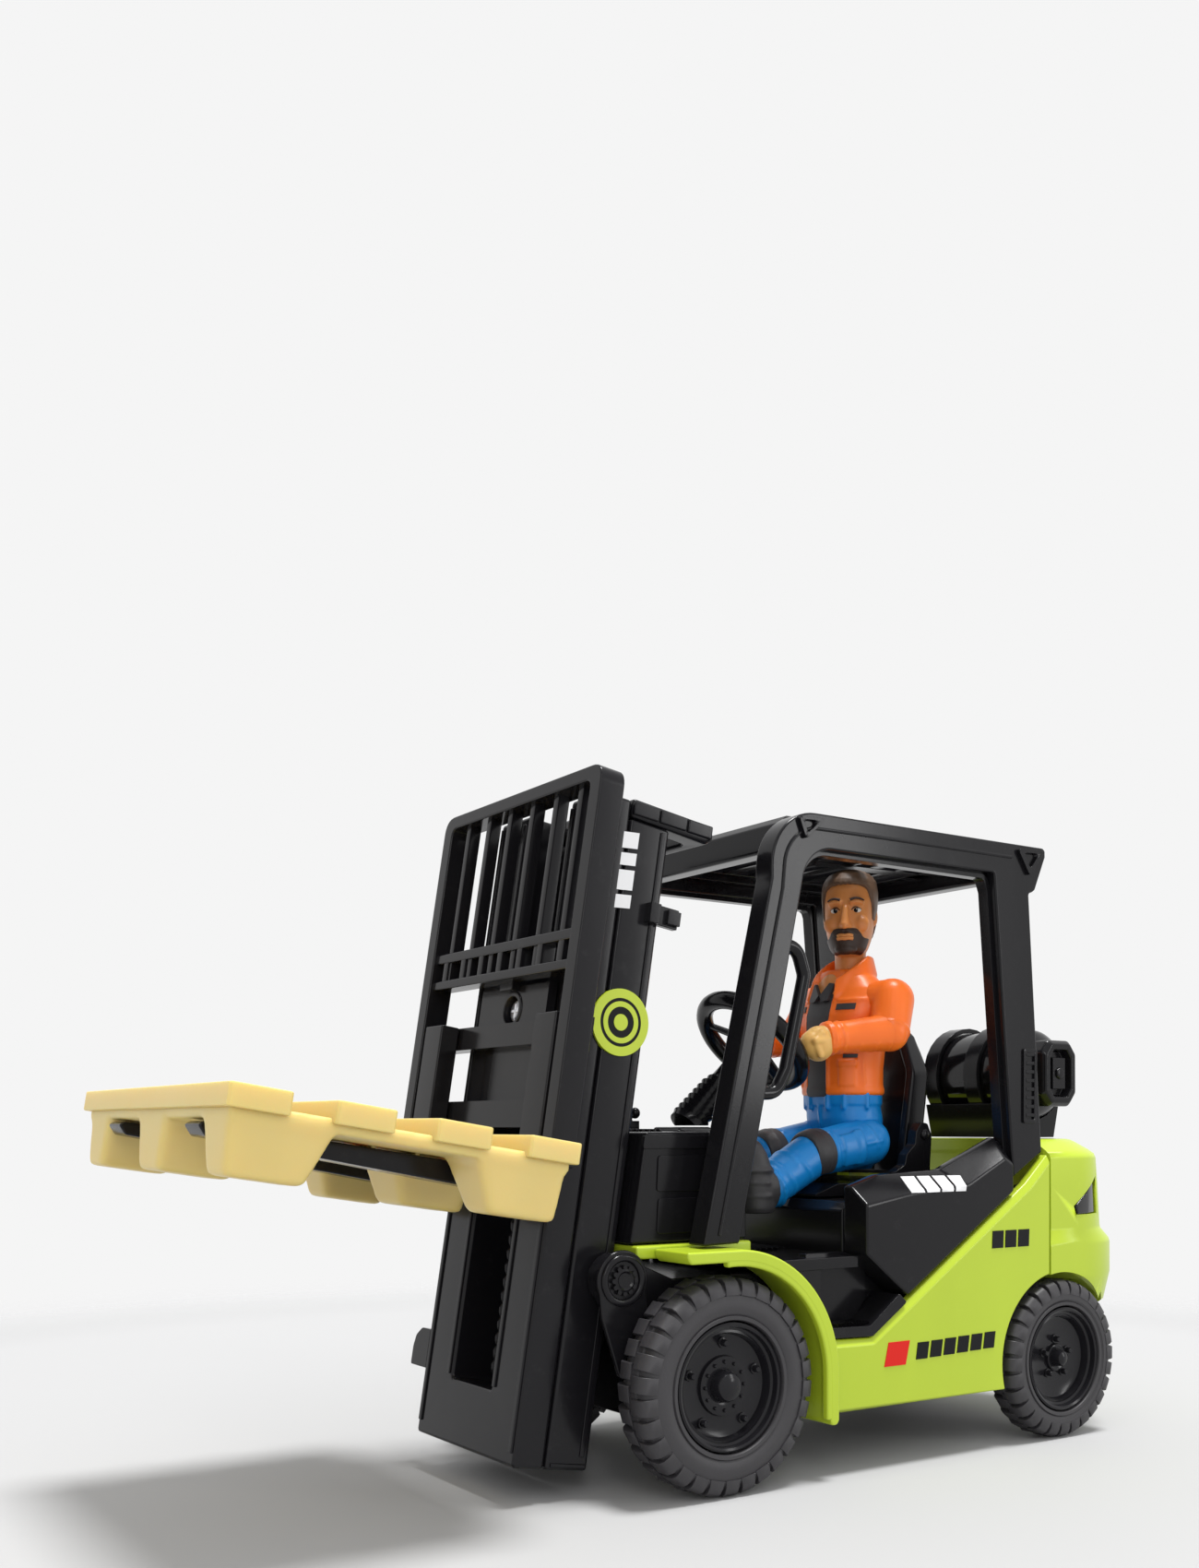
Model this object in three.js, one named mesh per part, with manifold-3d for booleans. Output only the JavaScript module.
// Toy counterbalance forklift with a figure at the wheel and a pallet on the forks, about 1:16.
// Millimetres, +Z up, +X the truck's left side, -Y the way it faces.
// The truck is drawn about the point on the ground midway between its axles, on its centre line.
// The mast is drawn upright about its tilt pivot, then leaned back. At the end everything moves
// so that the origin is the bottom centre of the whole object's box.
import * as THREE from 'three';
import { mergeVertices } from 'three/addons/utils/BufferGeometryUtils.js';
import Module from 'manifold-3d';

const wasm = await Module();
wasm.setup();

// ---- driving dimensions ----
const GAP = 0.3; // between pieces that touch on the real toy
const WHEELBASE = 102;
const FRONT_AXLE_Y = -WHEELBASE / 2;
const REAR_AXLE_Y = WHEELBASE / 2;
const FRONT_TYRE = { r: 21.8, rim: 13.4, inner: 27.9, outer: 38, seat: 37 };
const REAR_TYRE = { r: 18.6, rim: 12.6, inner: 28.6, outer: 37, seat: 36.2 };
const AXLE_R = 1.5;
const AXLE_PLAY = 0.3;
const KINGPIN_X = 24;
const STEER_ARM = 8;

const SIDE_X = 36; // outer face of the green body sides
const SIDE_WALL = 3;
const FENDER = { inner: 27, outer: 38.5, r: 27.2, wall: 2.5, front: -62.5, foot: 11.4 };
const BELLY_Z = 13;
const SILL_Z = 28.8;
const SEAM_Y = 46.8; // where the body sides meet the counterweight
const SHOULDER_Z = 67.4;
const ARCH_R = 20.6;
const WELL_R = 22.4; // inside the body, where the steered rear wheels need more room

const DECK_Z = 50; // green deck over the front wheels
const FLOOR_Z = 46;
const COWL = { x: 25, top: 73, front: -66.9, back: -37 };
const POD_END = 35;
const SEAT_BOX = { x: 27.6, front: -12, back: 46.4, top: 57.5 };
const CONSOLE_Z = 74; // top of the block under the steering column
const GUARD = { inner: 28.5, outer: 34, top: 141, rail: 7.5, front: -28, back: 47.5 };

const MAST_LEAN = 9; // degrees back at rest
const PIVOT = { y: -70.5, z: 43.5 };
const MAST = { x: 21, back: 1.7, seam: -8.5, front: -15.7, bottom: -38.8, top: 97.8, cap: 94.3, slot: 8.6 };
const CARRIAGE = { plate: -16.2, shank: -19.5, face: -24, low: 27.8, high: 50 };
const BACKREST = { x: 32.9, post: 4, front: -24, back: -18.3, low: 20, sill: 58.4, top: 99 };
const FORK = { inner: 20, outer: 28, top: 50, sole: 13.3, deck: 18, tip: -89.7 };
const PALLET = { x: 44.6, front: -91, back: -24.4, top: 24, board: 4, deck: 18.4, foot: 9 };

const WHEEL = { y: -15, z: 94, r: 13.4, tube: 1.6, tilt: 45 }; // steering wheel
const TANK = { y: 67, z: 87.6, r: 11.5, left: -16, right: 18, dome: 4.5, band: 4.6 };
const HEAD_TURN = 38; // degrees the figure looks to its left

// ---- materials ----
function plastic(hex, roughness) {
  return new THREE.MeshStandardMaterial({ color: hex, roughness, metalness: 0 });
}
const lime = plastic(0xb6d42f, 0.28);
const black = plastic(0x1d1c20, 0.3);
const tyreGrey = plastic(0x3b3a3e, 0.62);
const rimBlack = plastic(0x26262a, 0.25);
const palletYellow = plastic(0xecd48a, 0.45);
const lampBlack = plastic(0x121214, 0.15);
const jacketOrange = plastic(0xe0561c, 0.4);
const trouserBlue = plastic(0x1b5fae, 0.4);
const skin = plastic(0xa9703f, 0.45);
const steel = new THREE.MeshStandardMaterial({ color: 0xb9bcc0, roughness: 0.3, metalness: 1 });

// ---- solids ----
const rad = THREE.MathUtils.degToRad;

// A closed geometry as a manifold solid, with its faces turned outwards.
function toSolid(geometry) {
  const plain = geometry.clone();
  plain.deleteAttribute('normal');
  plain.deleteAttribute('uv');
  const merged = mergeVertices(plain, 1e-4);
  const place = merged.attributes.position.array;
  const index = merged.index.array;
  const faces = [];
  let volume = 0;
  const [p, q, r] = [new THREE.Vector3(), new THREE.Vector3(), new THREE.Vector3()];
  for (let i = 0; i < index.length; i += 3) {
    const [a, b, c] = index.slice(i, i + 3);
    if (a === b || b === c || c === a) continue;
    faces.push(a, b, c);
    p.fromArray(place, 3 * a);
    q.fromArray(place, 3 * b);
    r.fromArray(place, 3 * c);
    volume += p.dot(q.cross(r));
  }
  if (volume < 0) faces.reverse();
  const vertProperties = new Float32Array(place);
  const triVerts = new Uint32Array(faces);
  return new wasm.Manifold(new wasm.Mesh({ numProp: 3, vertProperties, triVerts }));
}

function toGeometry(solid) {
  const mesh = solid.getMesh();
  const geometry = new THREE.BufferGeometry();
  geometry.setAttribute('position', new THREE.BufferAttribute(mesh.vertProperties, 3));
  geometry.setIndex(new THREE.BufferAttribute(mesh.triVerts, 1));
  geometry.computeVertexNormals();
  return geometry;
}

function join(...solids) {
  return solids.reduce((whole, solid) => whole.add(solid));
}

function cut(solid, ...tools) {
  return tools.reduce((rest, tool) => rest.subtract(tool), solid);
}

function mirrored(solid) {
  return solid.mirror([1, 0, 0]);
}

function box(x, y, z) {
  const geometry = new THREE.BoxGeometry(x[1] - x[0], y[1] - y[0], z[1] - z[0]);
  geometry.translate((x[0] + x[1]) / 2, (y[0] + y[1]) / 2, (z[0] + z[1]) / 2);
  return toSolid(geometry);
}

// A flat outline pushed along one axis. The outline is (y, z) along X, (x, z) along Y, (x, y) along Z.
const TURNS = {
  x: [0, 0, 1, 1, 0, 0, 0, 1, 0],
  y: [1, 0, 0, 0, 0, -1, 0, 1, 0],
  z: [1, 0, 0, 0, 1, 0, 0, 0, 1],
};
function slab(axis, points, from, to, holes = []) {
  const shape = new THREE.Shape(points.map(([u, v]) => new THREE.Vector2(u, v)));
  for (const hole of holes) {
    shape.holes.push(new THREE.Path(hole.map(([u, v]) => new THREE.Vector2(u, v))));
  }
  const geometry = new THREE.ExtrudeGeometry(shape, { depth: to - from, bevelEnabled: false });
  const turn = new THREE.Matrix4().setFromMatrix3(new THREE.Matrix3().set(...TURNS[axis]));
  geometry.applyMatrix4(turn);
  const start = axis === 'y' ? to : from;
  geometry.translate(...['x', 'y', 'z'].map((a) => (a === axis ? start : 0)));
  return toSolid(geometry);
}

// Points of an arc in an outline, in degrees from the first axis.
function arc(u, v, r, from, to, steps) {
  return Array.from({ length: steps + 1 }, (_, i) => {
    const a = rad(from + ((to - from) * i) / steps);
    return [u + r * Math.cos(a), v + r * Math.sin(a)];
  });
}

function rect(u0, u1, v0, v1) {
  return [[u0, v0], [u1, v0], [u1, v1], [u0, v1]];
}

// A profile of (place along X, radius) turned about a line along X through (y, z).
function turned(profile, y, z, sides) {
  const points = profile.map(([along, radius]) => new THREE.Vector2(radius, along));
  const geometry = new THREE.LatheGeometry(points, sides);
  geometry.rotateZ(-Math.PI / 2);
  geometry.translate(0, y, z);
  return toSolid(geometry);
}

function rod(r, x, y, z, sides = 24) {
  return turned([[x[0], 0], [x[0], r], [x[1], r], [x[1], 0]], y, z, sides);
}

// A cylinder, or a cone, between two points.
function bar(from, to, r0, r1 = r0, sides = 12) {
  const [a, b] = [new THREE.Vector3(...from), new THREE.Vector3(...to)];
  const way = b.clone().sub(a);
  const geometry = new THREE.CylinderGeometry(r1, r0, way.length(), sides);
  geometry.translate(0, way.length() / 2, 0);
  const up = new THREE.Vector3(0, 1, 0);
  geometry.applyQuaternion(new THREE.Quaternion().setFromUnitVectors(up, way.normalize()));
  geometry.translate(...from);
  return toSolid(geometry);
}

function ball(centre, r, sides = 12) {
  const geometry = new THREE.SphereGeometry(r, sides, Math.ceil(sides / 2));
  geometry.translate(...centre);
  return toSolid(geometry);
}

// A skin over rings of points with the same count, each ring flat across z or x, closed at both ends.
function loft(rings) {
  const n = rings[0].length;
  const across = rings[0].every((p) => p[2] === rings[0][0][2]) ? [0, 1] : [1, 2];
  const flat = (ring) => ring.map((p) => new THREE.Vector2(p[across[0]], p[across[1]]));
  if (THREE.ShapeUtils.isClockWise(flat(rings[0]))) {
    return loft(rings.map((ring) => [...ring].reverse()));
  }
  const faces = [];
  for (let i = 0; i + 1 < rings.length; i += 1) {
    for (let j = 0; j < n; j += 1) {
      const [a, b] = [i * n + j, i * n + ((j + 1) % n)];
      faces.push(a, b, b + n, a, b + n, a + n);
    }
  }
  const last = rings.length - 1;
  for (const [a, b, c] of THREE.ShapeUtils.triangulateShape(flat(rings[0]), [])) {
    faces.push(c, b, a);
  }
  for (const face of THREE.ShapeUtils.triangulateShape(flat(rings[last]), [])) {
    faces.push(...face.map((k) => k + last * n));
  }
  const geometry = new THREE.BufferGeometry();
  geometry.setAttribute('position', new THREE.Float32BufferAttribute(rings.flat(2), 3));
  geometry.setIndex(faces);
  return toSolid(geometry);
}

function ellipseRing(z, x, y, sx, sy, sides) {
  return arc(0, 0, 1, 0, 360 - 360 / sides, sides - 1).map(([u, v]) => [x + sx * u, y + sy * v, z]);
}

// ---- the scene graph ----
const model = new THREE.Group();
const truck = new THREE.Group();
const mast = new THREE.Group();
mast.position.set(0, PIVOT.y, PIVOT.z);
mast.rotation.x = rad(-MAST_LEAN);
truck.add(mast);
model.add(truck);

function place(name, solid, material, group = truck) {
  const mesh = new THREE.Mesh(toGeometry(solid), material.clone());
  mesh.name = name;
  group.add(mesh);
}

const SIDES = [['left', 1], ['right', -1]];
function both(name, make, material, group = truck) {
  for (const [side, sign] of SIDES) {
    const solid = make(sign);
    place(`${name}_${side}`, sign > 0 ? solid : mirrored(solid), material, group);
  }
}

// ---- chassis: a spine, a front block with the mast's pivot arms, and a notch for the rear axle ----
function chassisFrame() {
  const spine = box([-17, 17], [-30, 66], [12, 30]);
  const block = box([-26.2, 26.2], [-62.3, -29], [14, 43]);
  const arm = [...arc(PIVOT.y, PIVOT.z, 5.2, 40, 220, 9), [-62, 24], [-55, 24], [-55, 42]];
  const left = slab('x', arm, 22.2, 26.2);
  const right = slab('x', arm, -26.2, -22.2);
  const pivotHole = rod(3.3, [-30, 30], PIVOT.y, PIVOT.z);
  const axleHole = rod(AXLE_R + AXLE_PLAY, [-40, 40], FRONT_AXLE_Y, FRONT_TYRE.r);
  const notch = box([-20, 20], [REAR_AXLE_Y - 5.5, REAR_AXLE_Y + 11.5], [10, 24]);
  return cut(join(spine, block, left, right), pivotHole, axleHole, notch);
}

// ---- one green body side: fender over the front wheel and side panel up to the counterweight ----
function bodySide() {
  const [cy, cz] = [FRONT_AXLE_Y + 1, FRONT_TYRE.r + 0.4];
  const outer = [[FENDER.front, cz + FENDER.r], ...arc(cy, cz, FENDER.r, 90, 0, 14)];
  const innerR = FENDER.r - FENDER.wall;
  const inner = [...arc(cy, cz, innerR, 0, 90, 14), [FENDER.front, cz + innerR]];
  const feet = [[cy + FENDER.r, FENDER.foot], [cy + innerR, FENDER.foot]];
  const fender = slab('x', [...outer, ...feet, ...inner], FENDER.inner, FENDER.outer);
  const archStart = 180 + THREE.MathUtils.radToDeg(Math.asin((REAR_TYRE.r - BELLY_Z) / ARCH_R));
  const archEnd = 90 + THREE.MathUtils.radToDeg(Math.asin((REAR_AXLE_Y - SEAM_Y) / ARCH_R));
  const arch = arc(REAR_AXLE_Y, REAR_TYRE.r, ARCH_R, archStart, archEnd, 12);
  const slope = [[SEAM_Y, SHOULDER_Z], [39, 60.6], [0, 35.4], [-10.8, SILL_Z - 0.4]];
  const front = cy + FENDER.r - 1;
  const panel = [[front, BELLY_Z], ...arch, ...slope, [front, SILL_Z]];
  return join(fender, slab('x', panel, SIDE_X - SIDE_WALL, SIDE_X));
}

function step() {
  const tread = [[-22.4, 29.1], [-10.7, 28.7], [-0.4, 35.4], [-2.6, 37.4], [-11.4, 31], [-22.4, 31.3]];
  return slab('x', tread, SEAT_BOX.x + GAP, SIDE_X - 0.2);
}

// ---- counterweight: an oval plan, a waist and a wider bumper, with wells for the rear wheels ----
function oval(z, half, middle, depth) {
  const curve = arc(0, 0, 1, 0, 180, 20).map(([u, v]) => [half * u, middle + depth * v, z]);
  return [...curve, [-half, SEAM_Y + GAP, z], [half, SEAM_Y + GAP, z]];
}

const TAIL_LAMP = [[55.4, 54.9], [56.2, 52.8], [66, 52.8], [66, 62]];
function counterweightBody(grow = 0) {
  return loft([
    oval(30.5, 35 + grow, 58, 27 + grow),
    oval(38, 36 + grow, 59, 28.4 + grow),
    oval(46, 36 + grow, 59, 28.4 + grow),
    oval(49.5, 36 + grow, 57, 25 + grow),
    oval(SHOULDER_Z, 36 + grow, 56, 24 + grow),
    oval(71, 30.5 + grow, 54, 21 + grow),
  ]);
}

function wheelWell() {
  const mouth = rod(ARCH_R, [30, 45], REAR_AXLE_Y, REAR_TYRE.r, 40);
  return join(mouth, rod(WELL_R, [18.2, 34], REAR_AXLE_Y, REAR_TYRE.r, 40));
}

function counterweight() {
  const well = wheelWell();
  const lamp = slab('x', TAIL_LAMP, 29.4, 45);
  const seat = box([-17.4, 17.4], [SEAM_Y, 66.4], [20, 30.4]);
  const low = box([-19, 19], [66.8, 82], [22, 31]);
  const solid = cut(join(counterweightBody(), low), well, mirrored(well), seat);
  return cut(solid, lamp, mirrored(lamp));
}

function tailLamp() {
  const [cy, cz] = [61.6, 55.6];
  const lens = TAIL_LAMP.map(([y, z]) => [cy + (y - cy) * 0.94, cz + (z - cz) * 0.94]);
  return counterweightBody(0.3).intersect(slab('x', lens, 29.7, 45));
}

// ---- cab ----
function frontCowl() {
  const side = [[COWL.front, DECK_Z + GAP], [COWL.back, DECK_Z + GAP], [COWL.back, COWL.top - 2]];
  const rim = [[COWL.back - 1.5, COWL.top], [-63.1, COWL.top]];
  const shell = slab('x', [...side, ...rim], -COWL.x, COWL.x);
  const hump = slab('x', [[-60, 72.5], [-48, 72.5], [-51, 76.4], [-54, 77.8], [-57.5, 77.8]], -20, -6);
  const nose = [[-41, 70], [-38, 60], [-33, 60], [-30, 64], [-30, 73], [-31, CONSOLE_Z], [-40, CONSOLE_Z]];
  return join(shell, hump, slab('x', nose, -5, 5));
}

function floorPlate() {
  const front = COWL.back + GAP;
  const back = SEAT_BOX.front - GAP;
  const plate = box([-33, 33], [front, back], [FLOOR_Z - 2.5, FLOOR_Z]);
  const wall = box([16, 17.7], [-28.7, back], [30.4, FLOOR_Z - 2]);
  const skirt = box([30.6, 32.7], [front, -22.8], [31.6, FLOOR_Z - 2]);
  const wheelRoom = rod(FENDER.r + GAP, [26.7, 45], FRONT_AXLE_Y + 1, FRONT_TYRE.r + 0.4, 40);
  const solid = join(plate, wall, skirt, mirrored(wall), mirrored(skirt));
  return cut(solid, wheelRoom, mirrored(wheelRoom));
}

function seatBox() {
  const { x, front, back, top } = SEAT_BOX;
  const rear = [[back, 31], [back, 60], [33, 60], [30, top]];
  const side = [[front, 31], ...rear, [front + 2, top], [front, top - 2]];
  return cut(slab('x', side, -x, x), wheelWell(), mirrored(wheelWell()));
}

// A side pod: its outer face stops lower than its inner edge, which leaves a long bevel.
function sidePod() {
  const foot = [[POD_END, 58.9], [0.6, 36.8], [-2, 38.5], [-12, FLOOR_Z + GAP]];
  const inner = [...foot, [-12, 61], [-4, 63.4], [15.6, 64.2], [34, 71.6], [POD_END, 71]];
  const outer = [...foot, [-12, 57], [1.6, 59.3], [19.4, 60.7], [32, 66.7], [POD_END, 65]];
  const ring = (points, x) => points.map(([y, z]) => [x, y, z]);
  return loft([ring(inner, SEAT_BOX.x + GAP), ring(inner, 30), ring(outer, 35.4)]);
}

const lean = (z) => -55 + (z - 51) * 0.235; // front edge of the guard's front pillar

function guardSide() {
  const outer = [
    [lean(DECK_Z), DECK_Z],
    [lean(126), 126],
    ...arc(lean(126) + 12.3, 128.7, 12.3, 180, 90, 6),
    [GUARD.back, GUARD.top],
    [GUARD.back + 0.6, 138.6],
    [44, 130],
    [42.2, 130],
    [46.4, 67.9],
    [36.4, 62.2],
  ];
  const inner = [
    [30.2, GUARD.top - GUARD.rail],
    ...arc(lean(123) + 17.6, 125.2, 8.3, 90, 172, 5),
    [lean(DECK_Z) + 9.2, DECK_Z],
  ];
  return slab('x', [...outer, ...inner], GUARD.inner, GUARD.outer);
}

function guardRoof() {
  const x = GUARD.inner - GAP;
  const plate = box([-x, x], [GUARD.front, 44], [138.2, 140.6]);
  const slots = [];
  for (let i = 0; i < 7; i += 1) {
    const y = -18.5 + 8.6 * i;
    slots.push(box([2.5, 23.5], [y, y + 4.6], [130, 145]));
    slots.push(box([-23.5, -2.5], [y, y + 4.6], [130, 145]));
  }
  const beam = box([-x, x], [GUARD.front - 2.2, GUARD.front + 3], [133.6, GUARD.top]);
  const tail = box([-x, x], [41, 46], [134, GUARD.top]);
  return join(cut(plate, ...slots), beam, tail);
}

// A grab loop behind the left front pillar, drawn as a rounded wire.
function grabHandle() {
  const route = [[-36, 112.6], [-30, 112.2], [-26.6, 107.4], [-31.6, 85.4], [-35, 81.4], [-42, 81]];
  const points = route.map(([y, z]) => [31.2, y, z]);
  const runs = points.slice(1).map((p, i) => bar(points[i], p, 1.45, 1.45, 8));
  const elbows = points.slice(1, -1).map((p) => ball(p, 1.5, 8));
  const edge = (z) => [lean(z) + 9.2 + 2 * GAP, z];
  const pillar = slab('x', [[-60, 60], edge(60), edge(125), [-60, 125]], 25, 40);
  return cut(join(...runs, ...elbows), pillar);
}

// ---- steering ----
const TILT = rad(WHEEL.tilt);
const UP = [0, Math.sin(TILT), Math.cos(TILT)]; // along the column, towards the driver

function onColumn(along) {
  return [0, WHEEL.y + UP[1] * along, WHEEL.z + UP[2] * along];
}

function steeringWheel() {
  const ring = new THREE.TorusGeometry(WHEEL.r, WHEEL.tube, 8, 28);
  ring.rotateX(-TILT);
  ring.translate(0, WHEEL.y, WHEEL.z);
  const hub = bar(onColumn(-1.6), onColumn(1.8), 3.2, 2.8, 16);
  const spokes = [90, 210, 330].map((turn) => {
    const [x, v] = [WHEEL.r * Math.cos(rad(turn)), WHEEL.r * Math.sin(rad(turn))];
    const end = [x, WHEEL.y + v * Math.cos(TILT), WHEEL.z - v * Math.sin(TILT)];
    return bar([0, WHEEL.y, WHEEL.z], end, 1.2, 1, 8);
  });
  return join(toSolid(ring), hub, ...spokes);
}

function steeringColumn() {
  const shaft = bar(onColumn(-30), onColumn(-2.1), 2.9, 2, 12);
  const boot = bar(onColumn(-21), onColumn(-12), 3.8, 3.2, 12);
  return cut(join(shaft, boot), box([-6, 6], [-60, -20], [60, CONSOLE_Z + GAP]));
}

function controlLevers() {
  const base = box([-19, -8], [-47, -41.8], [COWL.top + GAP, COWL.top + 2.4]);
  const levers = [-17, -13.5, -10].map((x) => {
    const top = [x, -38.4, COWL.top + 10];
    return join(bar([x, -44, COWL.top + 2], top, 0.7, 0.6, 8), ball(top, 1.4, 8));
  });
  return join(base, ...levers);
}

// ---- seat ----
function seatPan() {
  const cushion = slab('x', [[-8, 57.8], [27, 57.8], [27, 62], [-1, 61], [-6, 59.2], [-8, 58.4]], -15, 15);
  const guardLine = [[6, 57.8], [29, 57.8], [29.6, 71], [27.5, 74.5], [24, 71], [21, 65], [6, 61]];
  const guard = slab('x', guardLine, 14.6, 16.4);
  return join(cushion, guard, mirrored(guard));
}

function seatBack() {
  const wings = (z, half, front, depth) => [
    [-half, front - 2.5, z],
    [-half + 3, front - 2.5, z],
    [-half + 4, front, z],
    [half - 4, front, z],
    [half - 3, front - 2.5, z],
    [half, front - 2.5, z],
    [half - 1, front + depth, z],
    [-half + 1, front + depth, z],
  ];
  return loft([
    wings(62.4, 12.6, 24, 4.6),
    wings(86, 13.4, 26.6, 5),
    wings(95, 10.5, 28, 4.6),
    wings(98, 6.8, 28.8, 3.4),
  ]);
}

// ---- gas tank on its cradle, with a valve guard on the left end ----
function gasTank() {
  const cap = (end, way) => Array.from({ length: 6 }, (_, i) => {
    const a = rad(18 * i);
    return [end + way * TANK.dome * (1 - Math.cos(a)), TANK.r * Math.sin(a)];
  });
  const profile = [...cap(TANK.left, 1), ...cap(TANK.right, -1).reverse()];
  return turned(profile, TANK.y, TANK.z, 28);
}

function tankCradle() {
  const foot = slab('x', [[58, 71.3], [75, 71.3], [77, 80], [56, 80]], -13, 14);
  const band = (x) => rod(TANK.r + 1.5, [x, x + TANK.band], TANK.y, TANK.z, 28);
  const bore = rod(TANK.r + GAP, [-20, 20], TANK.y, TANK.z, 28);
  return cut(join(foot, band(-12), band(2)), bore);
}

function tankCollar() {
  const end = TANK.right;
  const ring = [[end + GAP, 0], [end + GAP, 6], [end - 0.6, 7.6], [end - 0.6, 8.2], [end + 6, 8.6]];
  const solid = turned([...ring, [end + 7.5, 7.6], [end + 7.5, 0]], TANK.y, TANK.z, 24);
  const window = box([end + 4, end + 9], [TANK.y - 3.6, TANK.y + 3.6], [TANK.z - 4, TANK.z + 4]);
  return cut(solid, window);
}

// ---- running gear ----
function tyre({ r, rim, inner, outer }) {
  const shoulder = [[2.4, 0], [0.7, 0.3], [0, 1.2]];
  const left = shoulder.map(([down, along]) => [inner + along, r - down]);
  const right = shoulder.map(([down, along]) => [outer - along, r - down]).reverse();
  const profile = [[inner + 0.4, rim], ...left, ...right, [outer - 0.4, rim]];
  return turned([...profile, profile[0]], 0, 0, 36);
}

function rim({ rim: edge, inner, seat }) {
  const bore = AXLE_R + AXLE_PLAY;
  const r = edge - GAP;
  const dish = [[seat, r], [seat, r - 1.6], [seat - 2.2, r - 2.6], [seat - 2.6, 4.6], [seat - 0.6, 3.8]];
  const back = [[inner + 0.2, 3.4], [inner + 2.2, 4.4], [inner + 2.6, r - 2], [inner + 0.6, r]];
  const face = [...dish, [seat - 0.2, bore], [inner + 0.2, bore], ...back];
  return turned([...face, face[0]], 0, 0, 32);
}

function rearAxleBeam() {
  const [y, z] = [REAR_AXLE_Y, REAR_TYRE.r];
  const beam = box([-20, 20], [y - 4, y + 4], [z - 3.6, z + 3.6]);
  const fork = (sign) => {
    const x = (a, b) => (sign > 0 ? [a, b] : [-b, -a]);
    const web = box(x(18.6, 20.4), [y - 4, y + 4], [z - 8.6, z + 8.6]);
    const plates = [z - 8.6, z + 6].map((low) => box(x(18.6, 27), [y - 4, y + 4], [low, low + 2.6]));
    const pin = bar([sign * KINGPIN_X, y, 0], [sign * KINGPIN_X, y, 40], 2.1, 2.1, 16);
    return cut(join(web, ...plates), pin);
  };
  return join(beam, fork(1), fork(-1));
}

function rearKnuckle() {
  const [y, z] = [REAR_AXLE_Y, REAR_TYRE.r];
  const block = box([21.4, 26.6], [y - 3, y + 3], [z - 5.6, z + 5.6]);
  const kingpin = bar([KINGPIN_X, y, z - 9], [KINGPIN_X, y, z + 9], 1.8, 1.8, 16);
  const stub = rod(AXLE_R, [26, REAR_TYRE.seat - 0.6], y, z, 16);
  const arm = box([22.4, 25.6], [y + 2, y + STEER_ARM + 1.6], [z - 4.4, z - 2.4]);
  return join(block, kingpin, stub, arm);
}

// ---- mast, drawn upright about its pivot ----
function outerMast() {
  const { x, back, seam, bottom, cap } = MAST;
  const mouth = seam + GAP;
  const channel = [[-x, mouth], [-x, back], [x, back], [x, mouth], [x - 2.6, mouth], [x - 2.6, -0.4]];
  const wall = slab('z', [...channel, [2.6 - x, -0.4], [2.6 - x, mouth]], bottom, cap - GAP);
  return join(wall, box([-x, x], [mouth, back], [bottom, bottom + 2.4]));
}

function innerMast() {
  const { x, seam, front, bottom, top, cap, slot } = MAST;
  const face = box([-x, x], [front, seam], [bottom, top]);
  const tongue = box([2.9 - x, x - 2.9], [seam - 0.5, -0.7], [bottom + 2.7, cap - GAP]);
  return cut(join(face, tongue), box([-slot, slot], [front - 1, -4], [-25.3, top + 1]));
}

function mastHandle() {
  const { x, cap } = MAST;
  const side = [[-8.2, cap], [11.6, cap - 0.6], [13.2, cap + 0.6], [13, cap + 2.6], [8, cap + 3.8]];
  const loop = slab('x', [...side, [-8.2, cap + 4.1]], -x, x);
  return cut(loop, box([6 - x, x - 6], [-4, 9.4], [cap - 5, cap + 8]));
}

function detentRack() {
  const teeth = Array.from({ length: 29 }, (_, i) => [i % 2 ? -9.6 : -8.5, 66 - 3 * i]);
  return slab('x', [[-4 - GAP, 66], ...teeth, [-4 - GAP, -18]], -1.1, 1.1);
}

function tiltPin() {
  const teeth = Array.from({ length: 24 }, (_, i) => {
    const [r, a] = [i % 2 ? 2.95 : 2.45, rad(15 * i)];
    return [r * Math.cos(a), r * Math.sin(a)];
  });
  return slab('x', teeth, MAST.x + GAP, 27.4);
}

// ---- carriage, forks and load backrest ----
function carriage() {
  const { plate, shank, low, high } = CARRIAGE;
  const reach = BACKREST.x - BACKREST.post + 0.9;
  const heights = [[low, low + 5.7], [high - 5, high]];
  const bars = heights.map((z) => box([-reach, reach], [shank + GAP, plate], z));
  const middle = box([-14, 14], [plate - 2, plate], [high - 5, BACKREST.sill - GAP]);
  const shoe = box([-8.2, 8.2], [plate - 0.5, -10.2], [low, high + 5]);
  const hole = slab('y', arc(0, high + 3, 3, 0, 345, 15), -25, -15);
  return cut(join(...bars, middle, shoe), hole);
}

function loadBackrest() {
  const { x, front, back, low, sill, top } = BACKREST;
  const wall = 2.2;
  const corner = [...arc(x - 4, top - 4, 4, 0, 90, 4), ...arc(4 - x, top - 4, 4, 90, 180, 4)];
  const inside = [...arc(4 - x, top - 4, 4 - wall, 180, 90, 4), ...arc(x - 4, top - 4, 4 - wall, 90, 0, 4)];
  const outline = [[x, low], ...corner, [-x, low], [wall - x, low], ...inside, [x - wall, low]];
  const hoop = slab('y', outline, front, back);
  const sills = [sill, sill + 6].map((z) => box([-x, x], [-22.4, -20], [z, z + 2.2]));
  const bars = [-24.6, -14.8, -4.9, 4.9, 14.8, 24.6].map((at) =>
    box([at - 1, at + 1], [-22, -20.4], [sill + 1, top - 1]));
  return join(hoop, ...sills, ...bars);
}

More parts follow.
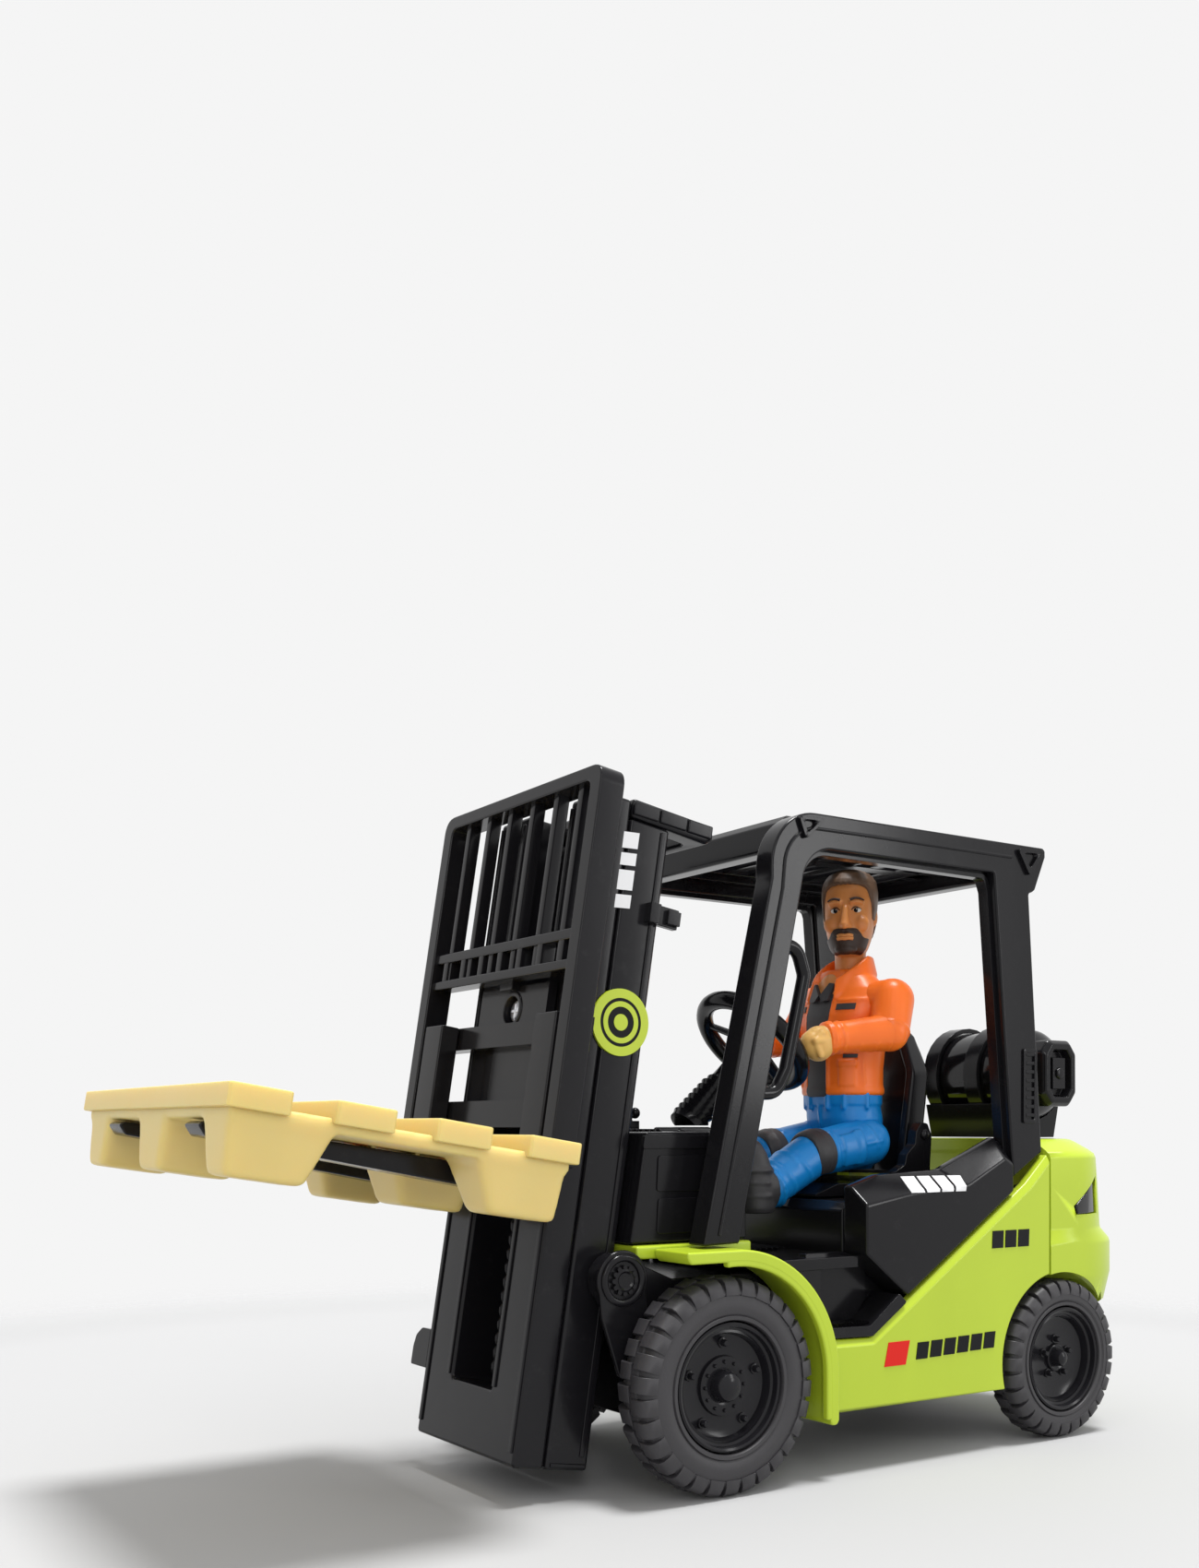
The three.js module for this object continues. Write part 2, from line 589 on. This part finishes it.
function fork() {
  const { inner, outer, top, sole, deck, tip } = FORK;
  const { face, shank } = CARRIAGE;
  const side = [
    [shank, top], [face, top], [face, deck + 0.6], [face - 0.6, deck], [tip + 1, deck],
    [tip, deck - 0.8], [tip + 1.5, deck - 2.6], [-60, sole + 1.2], [face, sole], [shank, sole + 2],
  ];
  return slab('x', side, inner, outer);
}

// ---- pallet: a deck with four raised boards on six tapered feet ----
function pallet() {
  const { x, front, back, top, board, deck, foot } = PALLET;
  const plate = box([1.6 - x, x - 1.6], [front + 1.2, back - 1], [deck, top - board + 1]);
  const boards = [0, 18.6, 37.2, 55.8].map((along) =>
    box([-x, x], [front + along, front + along + 10.9], [top - board, top]));
  const rectRing = (cx, cy, hx, hy, z) =>
    [[cx - hx, cy - hy, z], [cx + hx, cy - hy, z], [cx + hx, cy + hy, z], [cx - hx, cy + hy, z]];
  const feet = [];
  for (const cy of [front + 10.6, back - 10.4]) {
    for (const [cx, hx] of [[-35.6, 7.6], [0, 9], [35.6, 7.6]]) {
      const lean = Math.sign(cx) * 1.6;
      const sole = rectRing(cx + lean, cy, hx - 3, 7.4, foot);
      feet.push(loft([sole, rectRing(cx, cy, hx - 0.4, 9.2, deck + 0.6)]));
    }
  }
  return join(plate, ...boards, ...feet);
}

// ---- the figure ----
const SHOULDER = [13.2, 15, 105.4];
const ELBOW = [16.6, 13.2, 96.8];
const WRIST = [13.4, -2.8, 94.6];
const PALM = [12.8, -7.9, 93.5];
const HIP = [7.7, 15.4, 69.4];
const KNEE = [8.2, -3.6, 67.2];
const ANKLE = [8.8, -17.6, 60.4];

function capsule(a, b, ra, rb, grow = 0) {
  return join(ball(a, ra + grow, 12), bar(a, b, ra + grow, rb + grow, 12), ball(b, rb + grow, 12));
}

function upperArm(grow = 0) {
  return capsule(SHOULDER, ELBOW, 4.5, 3.9, grow);
}

function forearm(grow = 0) {
  const sleeve = capsule(ELBOW, WRIST, 3.9, 3.2, grow);
  return join(sleeve, capsule(WRIST, PALM, 2.9, 2.6, grow));
}

function thigh(grow = 0) {
  return capsule(HIP, KNEE, 6.4, 5.6, grow);
}

function shin(grow = 0) {
  const boot = loft([
    ellipseRing(54.4, ANKLE[0], -21.6, 4.6 + grow, 4 + grow, 12),
    ellipseRing(60, ANKLE[0], -21.8, 5 + grow, 4.6 + grow, 12),
    ellipseRing(68, ANKLE[0], -23, 4.4 + grow, 3.4 + grow, 12),
    ellipseRing(71, ANKLE[0], -23.6, 3.2 + grow, 2.2 + grow, 12),
  ]);
  return join(capsule(KNEE, ANKLE, 5.6, 5.2, grow), boot);
}

// The same solid turned about a line along X through a joint, at several angles.
function swept(solid, joint, angles) {
  return angles.map((angle) => {
    const home = solid.translate([0, -joint[1], -joint[2]]);
    return home.rotate([angle, 0, 0]).translate([0, joint[1], joint[2]]);
  });
}

function largest(solid) {
  return solid.decompose().sort((a, b) => b.volume() - a.volume())[0];
}

function driverTorso() {
  const trunk = loft([
    ellipseRing(64, 0, 16.4, 5, 5.4, 16),
    ellipseRing(72, 0, 15, 9.2, 7.4, 16),
    ellipseRing(82, 0, 12.9, 9.6, 8, 16),
    ellipseRing(96, 0, 13, 10.4, 8, 16),
    ellipseRing(103.5, 0, 14, 10.6, 6.8, 16),
    ellipseRing(108.6, 0, 14.4, 7, 4.8, 16),
    ellipseRing(110.5, 0, 14.6, 3.6, 3.6, 16),
    ellipseRing(115, 0, 14.8, 3.4, 3.4, 16),
  ]);
  const socket = rod(5.4, [SHOULDER[0] - 4.9, 30], SHOULDER[1], SHOULDER[2], 20);
  const legs = swept(thigh(GAP), HIP, [0, -10]);
  const arms = swept(upperArm(GAP), SHOULDER, [0, -30, -60]);
  const tools = [socket, ...legs, ...arms];
  return largest(cut(trunk, ...tools, ...tools.map(mirrored)));
}

function driverHead() {
  const ring = (z, back, sx, sy) => ellipseRing(z, 0, back, sx, sy, 16);
  const head = loft([
    ring(115.4, 0.6, 3.4, 3.8),
    ring(117.5, -0.8, 5, 6),
    ring(122, -0.2, 6.2, 7.2),
    ring(129, 0, 6.7, 7.6),
    ring(134, 0.4, 6.3, 7.2),
    ring(136.6, 0.6, 4.6, 5.4),
    ring(137.5, 0.6, 2.4, 3),
  ]);
  return head.rotate([0, 0, HEAD_TURN]).translate([0, 15, 0]);
}

// ---- every piece in its place ----
function wheel(name, size, y, side, sign) {
  const group = new THREE.Group();
  group.position.set(0, y, size.r);
  truck.add(group);
  const turn = (solid) => (sign > 0 ? solid : mirrored(solid));
  place(`tyre_${name}_${side}`, turn(tyre(size)), tyreGrey, group);
  place(`rim_${name}_${side}`, turn(rim(size)), rimBlack, group);
}

place('chassis_frame', chassisFrame(), black);
both('body_side', bodySide, lime);
place('front_deck', box([-26.7, 26.7], [-66.6, COWL.back], [47.3, DECK_Z]), lime);
both('step', step, black);
place('counterweight', counterweight(), lime);
both('tail_lamp', tailLamp, lampBlack);
place('front_cowl', frontCowl(), black);
place('floor_plate', floorPlate(), black);
place('seat_box', seatBox(), black);
both('side_pod', sidePod, black);
both('guard_side', guardSide, black);
place('guard_roof', guardRoof(), black);
place('grab_handle', grabHandle(), black);
place('steering_column', steeringColumn(), black);
place('steering_wheel', steeringWheel(), black);
place('control_levers', controlLevers(), black);
place('seat_pan', seatPan(), black);
place('seat_back', seatBack(), black);
place('tank_cradle', tankCradle(), black);
place('gas_tank', gasTank(), black);
place('tank_collar', tankCollar(), black);

place('front_axle', rod(AXLE_R, [-36, 36], FRONT_AXLE_Y, FRONT_TYRE.r, 16), steel);
place('rear_axle_beam', rearAxleBeam(), black);
both('rear_knuckle', rearKnuckle, black);
place('tie_bar', box([-25.4, 25.4], [REAR_AXLE_Y + STEER_ARM - 1.4, REAR_AXLE_Y + STEER_ARM + 1.4],
  [REAR_TYRE.r - 2.1, REAR_TYRE.r - 0.3]), black);
for (const [side, sign] of SIDES) {
  wheel('front', FRONT_TYRE, FRONT_AXLE_Y, side, sign);
  wheel('rear', REAR_TYRE, REAR_AXLE_Y, side, sign);
}

place('outer_mast', outerMast(), black, mast);
both('tilt_pin', tiltPin, black, mast);
place('inner_mast', innerMast(), black, mast);
place('mast_handle', mastHandle(), black, mast);
place('detent_rack', detentRack(), black, mast);
place('carriage', carriage(), black, mast);
place('load_backrest', loadBackrest(), black, mast);
both('fork', fork, black, mast);
place('pallet', pallet(), palletYellow, mast);

place('driver_torso', driverTorso(), jacketOrange);
place('driver_head', driverHead(), skin);
both('driver_upper_arm', () => cut(upperArm(), ...swept(forearm(GAP), ELBOW, [0, -12, -25])), jacketOrange);
both('driver_forearm', () => forearm(), jacketOrange);
both('driver_thigh', () => cut(thigh(), ...swept(shin(GAP), KNEE, [0, -6, -12])), trouserBlue);
both('driver_shin', () => shin(), trouserBlue);

const size = new THREE.Box3().setFromObject(model);
truck.position.set(0, -(size.min.y + size.max.y) / 2, -size.min.z);

export default model;
